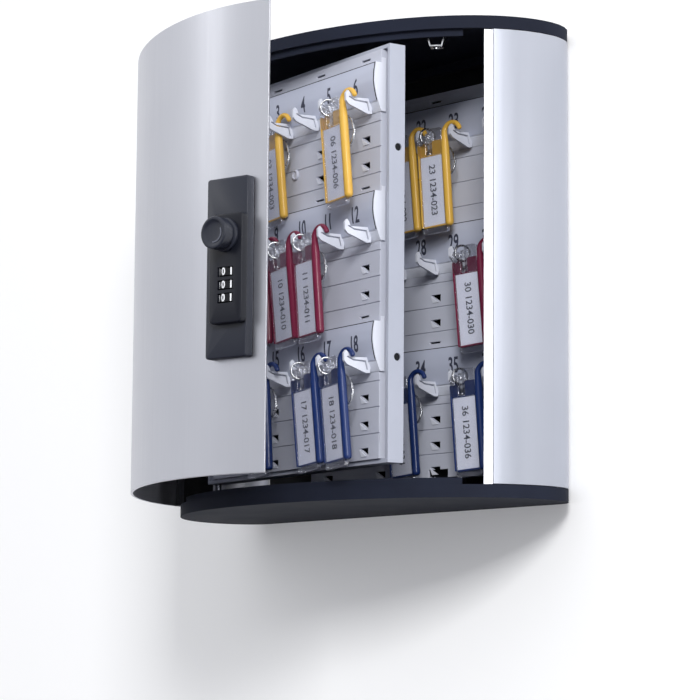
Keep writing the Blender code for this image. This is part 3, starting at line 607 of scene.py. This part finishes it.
def number_mesh(panel, row, top):
    """The row's six hook numbers, laid on the bulge of the label."""
    aside, down, height = 10.5 * MM, 12.3 * MM, 9.4 * MM
    narrow = Matrix.Diagonal((0.68, 1, 1, 1))
    pieces = []
    for column in range(HOOKS_PER_ROW):
        number = panel["first"] + row * HOOKS_PER_ROW + column
        x = panel["hook_x"] - HOOK_PITCH * (HOOKS_PER_ROW - 1 - column) - aside
        mesh = text_mesh("number", str(number), height, 0.1 * MM, 0.028)
        pieces.append((mesh, Matrix.Translation((x, 0, top - down)) @ narrow))
    made = join_meshes("numbers", pieces)
    slice_mesh(made, top - STRIP_LINE, top, 1 * MM)
    for vertex in made.vertices:
        vertex.co.y += panel["face"] - strip_out(top - vertex.co.z) - 0.38 * MM
    return made


def arrow_mesh(panel):
    """The raised light wedges beside the half-arrow holes."""
    half_x, half_z = ARROW_SIZE[0] / 2, ARROW_SIZE[1] / 2
    tops = [panel["top"] - panel["pitch"] * row for row in range(3)]
    columns = [panel["column_x"] - COLUMN_PITCH * step for step in range(4)]
    bm = bmesh.new()
    for x in [spot for spot in columns if spot > panel["column_end"]]:
        for top in tops:
            last = (LAST_ARROW_DROP,) if top == tops[-1] else ()
            for drop in ARROW_DROPS + last:
                z = top - drop
                wedge = [
                    (x - half_x, z + half_z * 0.7),
                    (x + half_x * 0.72, z - half_z * 0.98),
                    (x - half_x * 0.55, z - half_z * 0.98),
                ]
                prism_into(bm, wedge, panel["face"] - 0.45 * MM, panel["face"] - 0.02 * MM)
    return to_mesh(bm, "arrows")


def add_panel_details():
    for kind, panel in PANELS.items():
        place = panel_place(kind)
        for row in range(3):
            top = panel["top"] - panel["pitch"] * row
            left, right = panel["left"] + 1.2 * MM, panel["right"] - 1 * MM
            end = right + 0.5 * MM
            # the thin dark sheets along each label's top and right end are painted shadow lines at the strip's
            # edges
            for part, edges, finish in (
                ("label", (left, right, 0.5 * MM, 22.6 * MM), "label_grey"),
                ("label_end_shadow", (right + 0.02 * MM, end, 0.02 * MM, 22.6 * MM), "inner_plastic"),
                ("label_top_shadow", (left, right, 0.02 * MM, 0.45 * MM), "inner_plastic"),
            ):
                mesh = sheet_mesh(panel, top, *edges)
                name = f"{kind}_{part}_{row + 1}"
                add_piece(name, mesh, finish, panel["body"], place)
            add_piece(
                f"{kind}_numbers_{row + 1}",
                number_mesh(panel, row, top),
                "print_dark",
                panel["body"],
                place,
            )
        arrows = arrow_mesh(panel)
        add_piece(f"{kind}_arrows", arrows, "hook_white", panel["body"], place)


def add_hole_plugs():
    """Dark discs set back in the two holes of the tray's right side: painted shade in the holes."""
    bm = bmesh.new()
    for height in TRAY_HOLE_HEIGHTS:
        place = Matrix.Translation((97.7 * MM, -68.7 * MM, height)) @ rotation(90, "Y")
        bmesh.ops.create_cone(
            bm,
            cap_ends=True,
            segments=32,
            radius1=2.25 * MM,
            radius2=2.25 * MM,
            depth=1 * MM,
            matrix=place,
        )
    mesh = to_mesh(bm, "hole_shade_discs")
    place = panel_place("swing")
    add_piece("tray_hole_shade", mesh, "inner_plastic", "swing_panel", place)


def add_fixing():
    """The round fixing of the hook plate: a raised collar with a sunk middle."""
    low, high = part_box("swing_plate_screw")
    opened = panel_place("swing")
    closed_spot = opened.inverted() @ ((low + high) / 2)
    closed_spot.y = PANELS["swing"]["face"] - 0.05 * MM
    spot = opened @ closed_spot
    profile = [
        (0, 0.5 * MM),
        (1.9 * MM, 0.5 * MM),
        (2.1 * MM, 1.1 * MM),
        (2.5 * MM, 1.35 * MM),
        (3.0 * MM, 1.1 * MM),
        (3.3 * MM, 0),
        (0, 0),
    ]
    place = Matrix.Translation(spot) @ rotation(-PANEL_OPEN, "Z") @ rotation(90, "X")
    collar = turned("plate_fixing", profile, 48)
    made = add_piece("plate_fixing", collar, "panel_plastic", "swing_panel", place)
    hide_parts("swing_plate_screw")


# ---------------------------------------------------------------- lock


def lock_turn():
    """Turns the lock's own frame (X along the plate, Y inwards) into the row frame."""
    inwards = Vector(JOINTS["knob_turn"]["axis"])
    return Matrix.Rotation(math.atan2(-inwards.x, inwards.y), 4, "Z")


def knob_profile():
    """The knob's turned outline: a dished face with a raised rim, a waist and a collar."""
    radius, length = KNOB_RADIUS, KNOB_LENGTH
    edge = 0.9 * MM
    profile = [(0, length - 1.3 * MM), (radius * 0.35, length - 1.25 * MM)]
    profile += [(radius * 0.6, length - 1.0 * MM), (radius * 0.74, length - 0.55 * MM)]
    profile += [(radius * 0.8, length - 0.05 * MM), (radius * 0.84, length)]
    for step in range(7):
        angle = math.radians(90 - 90 * step / 6)
        spot = (radius - edge + edge * math.cos(angle), length - edge + edge * math.sin(angle))
        profile.append(spot)
    profile += [
        (radius, 4.2 * MM),
        (radius - 0.5 * MM, 3.6 * MM),
        (radius - 1.1 * MM, 3.0 * MM),
        (radius - 1.2 * MM, 2.2 * MM),
        (radius - 0.2 * MM, 1.8 * MM),
        (radius + 0.3 * MM, 1.4 * MM),
        (radius + 0.4 * MM, 0.9 * MM),
        (radius + 0.4 * MM, 0),
        (0, 0),
    ]
    return profile


def pointer_mesh():
    """A raised arc on the knob's face, in a lighter colour than the knob: a painted highlight."""
    ring = KNOB_RADIUS * 0.62
    angles = [math.radians(-100 + 9 * step) for step in range(15)]
    outer = [(ring * math.cos(a), ring * math.sin(a)) for a in angles]
    inner = [(x * 0.86, z * 0.86) for x, z in reversed(outer)]
    bm = bmesh.new()
    prism_into(bm, outer + inner, -KNOB_LENGTH + 0.62 * MM, -KNOB_LENGTH + 1.6 * MM)
    return to_mesh(bm, "knob_highlight_arc")


def add_knob():
    spot = Matrix.Translation(JOINTS["knob_turn"]["pos_m"]) @ lock_turn()
    knob = turned("turn_knob", knob_profile())
    made = add_piece("turn_knob", knob, "lock_plastic", "knob", spot @ rotation(90, "X"))
    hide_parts("lock_knob")
    highlight_arc = add_piece("knob_highlight_arc", pointer_mesh(), "knob_arc_highlight", "knob", spot)
    bevel(highlight_arc, 0.15 * MM)


def dial_digits():
    """Ten digits round a wheel, on its rim, with 0 to the front."""
    digit_height, step = 4.0 * MM, 2 * math.pi / 10
    pieces = []
    for digit in range(10):
        mesh = text_mesh("digit", str(digit), digit_height, 0.16 * MM, 0.03)
        for vertex in mesh.vertices:
            angle = vertex.co.x / DIAL_RADIUS + digit * step
            reach = DIAL_RADIUS + 0.02 * MM - vertex.co.y
            vertex.co = (reach * math.sin(angle), -reach * math.cos(angle), vertex.co.z)
        pieces.append((mesh, Matrix.Identity(4)))
    return join_meshes("digits", pieces)


def add_dials():
    """Three number wheels with rounded rims; their digits ride with them."""
    half, edge = DIAL_THICKNESS / 2, 0.35 * MM
    profile = [(0, half), (DIAL_RADIUS - edge, half), (DIAL_RADIUS, half - edge)]
    profile += [(DIAL_RADIUS, edge - half), (DIAL_RADIUS - edge, -half), (0, -half)]
    for number in (1, 2, 3):
        joint = JOINTS[f"dial_{number}_turn"]
        place = Matrix.Translation(joint["pos_m"]) @ lock_turn() @ rotation(DIAL_OFFSET, "Z")
        body = f"dial_{number}"
        wheel = turned(f"number_wheel_{number}", profile, 72)
        made = add_piece(f"number_wheel_{number}", wheel, "dial_black", body, place)
        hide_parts(f"number_dial_{number}")
        digits = dial_digits()
        add_piece(f"wheel_digits_{number}", digits, "print_white", body, place)


# ---------------------------------------------------------------- key tags


def tag_spine():
    """The coloured spine with its crook, in the tag's plane, from the crook's middle."""
    stations = (  # (height, share of the radius) up the straight part
        (SPINE_LOW, 0.35),
        (SPINE_LOW + 0.3 * MM, 0.68),
        (SPINE_LOW + 1 * MM, 0.92),
        (SPINE_LOW + 2 * MM, 1.0),
        (-14 * MM, 1.0),
        (-8 * MM, 0.96),
        (-4 * MM, 0.84),
    )
    path = [(-CROOK_RADIUS, 0, height, share) for height, share in stations]
    thin = CROOK_TUBE / SPINE_RADIUS
    steps, sweep = 22, 165
    for step in range(steps + 1):
        angle = math.radians(180 - sweep * step / steps)
        share = thin + (0.72 - thin) * max(0, 1 - step / 6)
        path.append((CROOK_RADIUS * math.cos(angle), 0, CROOK_RADIUS * math.sin(angle), share))
    end_x, _, end_z, _ = path[-1]
    turn = math.radians(sweep - 90)
    for reach, share in ((0.6, 0.92), (1.0, 0.7), (1.25, 0.35)):
        reach *= MM
        path.append((end_x + reach * math.cos(turn), 0, end_z - reach * math.sin(turn), thin * share))
    return tube("spine", path, SPINE_RADIUS, 6)


def tag_frame(corner):
    """The coloured back plate, left border and bottom bar of the holder."""
    bm = bmesh.new()
    right = -CROOK_RADIUS
    plate = rounded(-24.4 * MM, right, -57.2 * MM, -11.5 * MM, 1.2 * MM)
    shoulder = rounded(TAG_SLOT[1] + 0.4 * MM, right, -12 * MM, -3 * MM, 1 * MM)
    bar = rounded(-23.2 * MM, right - 1 * MM, -57 * MM, -56.1 * MM, 0.4 * MM, 3)
    prism_into(bm, plate, 0.3 * MM, 1.3 * MM)
    prism_into(bm, shoulder, 0.5 * MM, 1.2 * MM)
    prism_into(bm, in_mm(HOLDER_EARS[corner]), 0.5 * MM, 1.2 * MM)
    prism_into(bm, in_mm(HOLDER_BORDERS[corner]), -1.5 * MM, 1.6 * MM)
    prism_into(bm, bar, -1.4 * MM, 0.2 * MM)
    return to_mesh(bm, "holder")


def tag_window():
    """The clear front over the label."""
    bm = bmesh.new()
    window = rounded(-23.8 * MM, -7 * MM, -58 * MM, -12.8 * MM, 1 * MM)
    prism_into(bm, window, -1.7 * MM, -0.8 * MM)
    return to_mesh(bm, "window")


def tag_block(corner):
    """The clear block at the top with its slot, and the round tip."""
    left, right = -24.7 * MM, -7 * MM
    slot_left, slot_right = TAG_SLOT
    bridge = (slot_left + 0.05 * MM, slot_right - 0.05 * MM)
    left_side = rounded(left, slot_left, -12.6 * MM, 1 * MM, 2.2 * MM)
    outlines = (
        rounded(left + 0.6 * MM, right + 0.8 * MM, -61 * MM, -57.4 * MM, 1.7 * MM),
        in_mm(CUT_BLOCK_SIDE) if corner == "cut" else left_side,
        rounded(slot_right, right, -12.6 * MM, 4.2 * MM, 2.4 * MM),
        rounded(*bridge, -2.4 * MM, 1.6 * MM, 0.6 * MM, 3),
        rounded(*bridge, -12.5 * MM, -10 * MM, 0.5 * MM, 3),
    )
    bm = bmesh.new()
    for outline in outlines:
        prism_into(bm, outline, -1.7 * MM, 1.3 * MM)
    return to_mesh(bm, "block")


def tag_label():
    bm = bmesh.new()
    paper = rounded(-23.6 * MM, -8.4 * MM, -55.9 * MM, -12.9 * MM, 0.3 * MM, 2)
    prism_into(bm, paper, -0.6 * MM, -0.3 * MM)
    return to_mesh(bm, "label")


def tag_print(number):
    """Digits that run down the label."""
    mesh = text_mesh("print", f"{number:02d} 1234-0{number:02d}", 4.4 * MM, 0.06 * MM, 0.015)
    mesh.transform(Matrix.Translation((-15.8 * MM, -0.66 * MM, -34 * MM)) @ rotation(90, "Y"))
    return mesh


def wire_ring(name, radius, wire, lift):
    """A split ring in the XZ plane: two turns of round wire, rising along Y."""
    turns = 2
    steps = 40 * turns
    path = []
    for step in range(steps + 1):
        angle = 2 * math.pi * turns * step / steps
        rise = lift * step / steps
        path.append((radius * math.cos(angle), rise, radius * math.sin(angle), 1.0))
    return tube(name, path, wire, 3)


def tag_rings():
    """A small ring through the holder's slot, and a split ring behind the tag that holds keys."""
    small = wire_ring("small", 4.8 * MM, 0.6 * MM, 1.1 * MM)
    large = wire_ring("large", 11.5 * MM, 0.55 * MM, 1.2 * MM)
    slot = Matrix.Translation((-17.4 * MM, -0.6 * MM, -0.2 * MM)) @ rotation(58, "Z")
    behind = Matrix.Translation((-13 * MM, 3.4 * MM, -17 * MM)) @ rotation(-5, "X")
    return join_meshes("rings", [(small, slot), (large, behind)])


def add_tags():
    """The tags, each turned and tilted on its hook as it hangs in the photo."""
    spine, label, rings, window = tag_spine(), tag_label(), tag_rings(), tag_window()
    holders = {corner: tag_frame(corner) for corner in ("full", "cut")}
    blocks = {corner: tag_block(corner) for corner in ("full", "cut")}
    for number, (yaw, tilt) in TAG_LEAN.items():
        joint = JOINTS[f"tag_{number:02d}_swing"]
        body = f"tag_{number:02d}"
        colour = TAG_COLOURS[(number - 1) % 18 // HOOKS_PER_ROW]
        corner = "cut" if number in CUT_CORNERS else "full"
        axis = Vector(joint["axis"])
        place = Matrix.Translation(joint["pos_m"])
        place = place @ Matrix.Rotation(math.atan2(-axis.x, axis.y) + math.radians(yaw), 4, "Z")
        place = place @ rotation(-tilt, "Y")
        main = add_piece(f"{body}_spine", spine.copy(), colour, body, place)
        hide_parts(f"key_tag_{number:02d}")
        for part, mesh, material, slot, edge in (
            ("holder", holders[corner].copy(), colour, colour, 0.15),
            ("window", window.copy(), "clear_plastic", colour, 0.3),
            ("block", blocks[corner].copy(), "clear_thick", colour, 0.45),
            ("label", label.copy(), "paper", colour, None),
            ("print", tag_print(number), "print_dark", colour, None),
            ("rings", rings.copy(), "steel", "steel", None),
        ):
            made = add_piece(f"{body}_{part}", mesh, material, body, place)
            if edge:
                bevel(made, edge * MM)


# ---------------------------------------------------------------- stage, light and camera


def add_stage():
    """A pale wall that only shows from the front, and a dark floor well below."""
    shader = Shader("stage_wall")
    shader.set(base_color=(0.85, 0.85, 0.85, 1), roughness=0.9, emission_strength=0.17)
    shader.set(emission_color=(1, 1, 1, 1))
    facing = shader.node("ShaderNodeNewGeometry")
    clear = shader.node("ShaderNodeBsdfTransparent")
    mix = shader.node("ShaderNodeMixShader")
    shader.link(facing.outputs["Backfacing"], mix.inputs["Fac"])
    shader.link(shader.principled.outputs["BSDF"], mix.inputs[1])
    shader.link(clear.outputs["BSDF"], mix.inputs[2])
    shader.link(mix.outputs["Shader"], shader.tree.nodes["Material Output"].inputs["Surface"])
    floor_shader = Shader("stage_floor")
    floor_shader.set(base_color=(0.1, 0.1, 0.12, 1), roughness=0.9)

    reach, floor_z = 6.0, -1.1
    for name, turn, place, material in (
        ("wall", math.radians(90), (0, 0.6 * MM, 0), "stage_wall"),
        ("floor", 0, (0, 0, floor_z), "stage_floor"),
    ):
        bm = bmesh.new()
        bmesh.ops.create_grid(bm, x_segments=1, y_segments=1, size=reach)
        mesh = bpy.data.meshes.new(name)
        bm.to_mesh(mesh)
        bm.free()
        plane = link(bpy.data.objects.new(name, mesh))
        plane.rotation_euler.x = turn
        plane.location = place
        mesh.materials.append(MATERIALS[material])


def add_light(name, place, aim, size, power, mirrored=True, scattered=True):
    light = bpy.data.lights.new(name, "AREA")
    light.shape = "RECTANGLE"
    light.size, light.size_y = size
    light.energy = power
    made = link(bpy.data.objects.new(name, light))
    made.visible_glossy = mirrored
    made.visible_diffuse = scattered
    made.location = place
    made.rotation_euler = (Vector(aim) - Vector(place)).to_track_quat("-Z", "Y").to_euler()


def around(azimuth, distance, height):
    """A place round the cabinet; azimuth 0 is in front of it and 90 on its right."""
    turn = math.radians(azimuth)
    return (distance * math.sin(turn), -distance * math.cos(turn), height)


def add_lights():
    """A sky that is brighter above, a key light from the upper right that casts the shadow on the
    wall, and two soft bands that show only as reflections."""
    world = bpy.data.worlds.new("studio")
    bpy.context.scene.world = world
    world.use_nodes = True
    tree = world.node_tree
    background = tree.nodes["Background"]
    background.inputs["Strength"].default_value = 0.9
    direction = tree.nodes.new("ShaderNodeTexCoord")
    split = tree.nodes.new("ShaderNodeSeparateXYZ")
    ramp = tree.nodes.new("ShaderNodeValToRGB")
    ramp.color_ramp.elements[0].position = 0.3
    ramp.color_ramp.elements[0].color = (0.72, 0.74, 0.78, 1)
    ramp.color_ramp.elements[1].position = 0.8
    ramp.color_ramp.elements[1].color = (1.12, 1.13, 1.16, 1)
    lift = tree.nodes.new("ShaderNodeMath")
    lift.operation = "MULTIPLY_ADD"
    lift.inputs[1].default_value = 0.5
    lift.inputs[2].default_value = 0.5
    tree.links.new(direction.outputs["Generated"], split.inputs[0])
    tree.links.new(split.outputs["Z"], lift.inputs[0])
    tree.links.new(lift.outputs[0], ramp.inputs["Fac"])
    tree.links.new(ramp.outputs["Color"], background.inputs["Color"])

    middle = (0, -50 * MM, 0)
    add_light("key_light", around(46, 2.6, 1.0), middle, (0.65, 0.65), 60, mirrored=False)
    add_light("right_band", around(57, 2.4, 0.5), middle, (0.26, 1.8), 26, scattered=False)
    add_light("left_band", around(-46, 2.2, 1.0), middle, (0.35, 1.2), 2.4, scattered=False)


def add_camera():
    azimuth, pitch, roll = (math.radians(v) for v in (CAMERA_AZIMUTH, CAMERA_PITCH, CAMERA_ROLL))
    right = Vector((math.cos(azimuth), math.sin(azimuth), 0))
    ahead = Vector((-math.sin(azimuth), math.cos(azimuth), 0))
    above = Vector((0, 0, 1))
    forward = ahead * math.cos(pitch) + above * math.sin(pitch)
    up = above * math.cos(pitch) - ahead * math.sin(pitch)
    rolled = right * math.cos(roll) + up * math.sin(roll)
    upright = up * math.cos(roll) - right * math.sin(roll)
    turn = Matrix((rolled, upright, -forward)).transposed().to_4x4()
    camera = bpy.data.cameras.new("camera")
    camera.lens = CAMERA_LENS
    camera.sensor_width = SENSOR
    camera.clip_end = 50
    made = link(bpy.data.objects.new("camera", camera))
    made.matrix_world = Matrix.Translation(CAMERA_PLACE) @ turn
    bpy.context.scene.camera = made
    bpy.context.scene.view_settings.view_transform = "Standard"


def main():
    make_materials()
    dress_nodes()
    add_panel_details()
    add_fixing()
    add_hole_plugs()
    add_knob()
    add_dials()
    add_tags()
    add_stage()
    add_lights()
    add_camera()
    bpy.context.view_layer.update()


main()
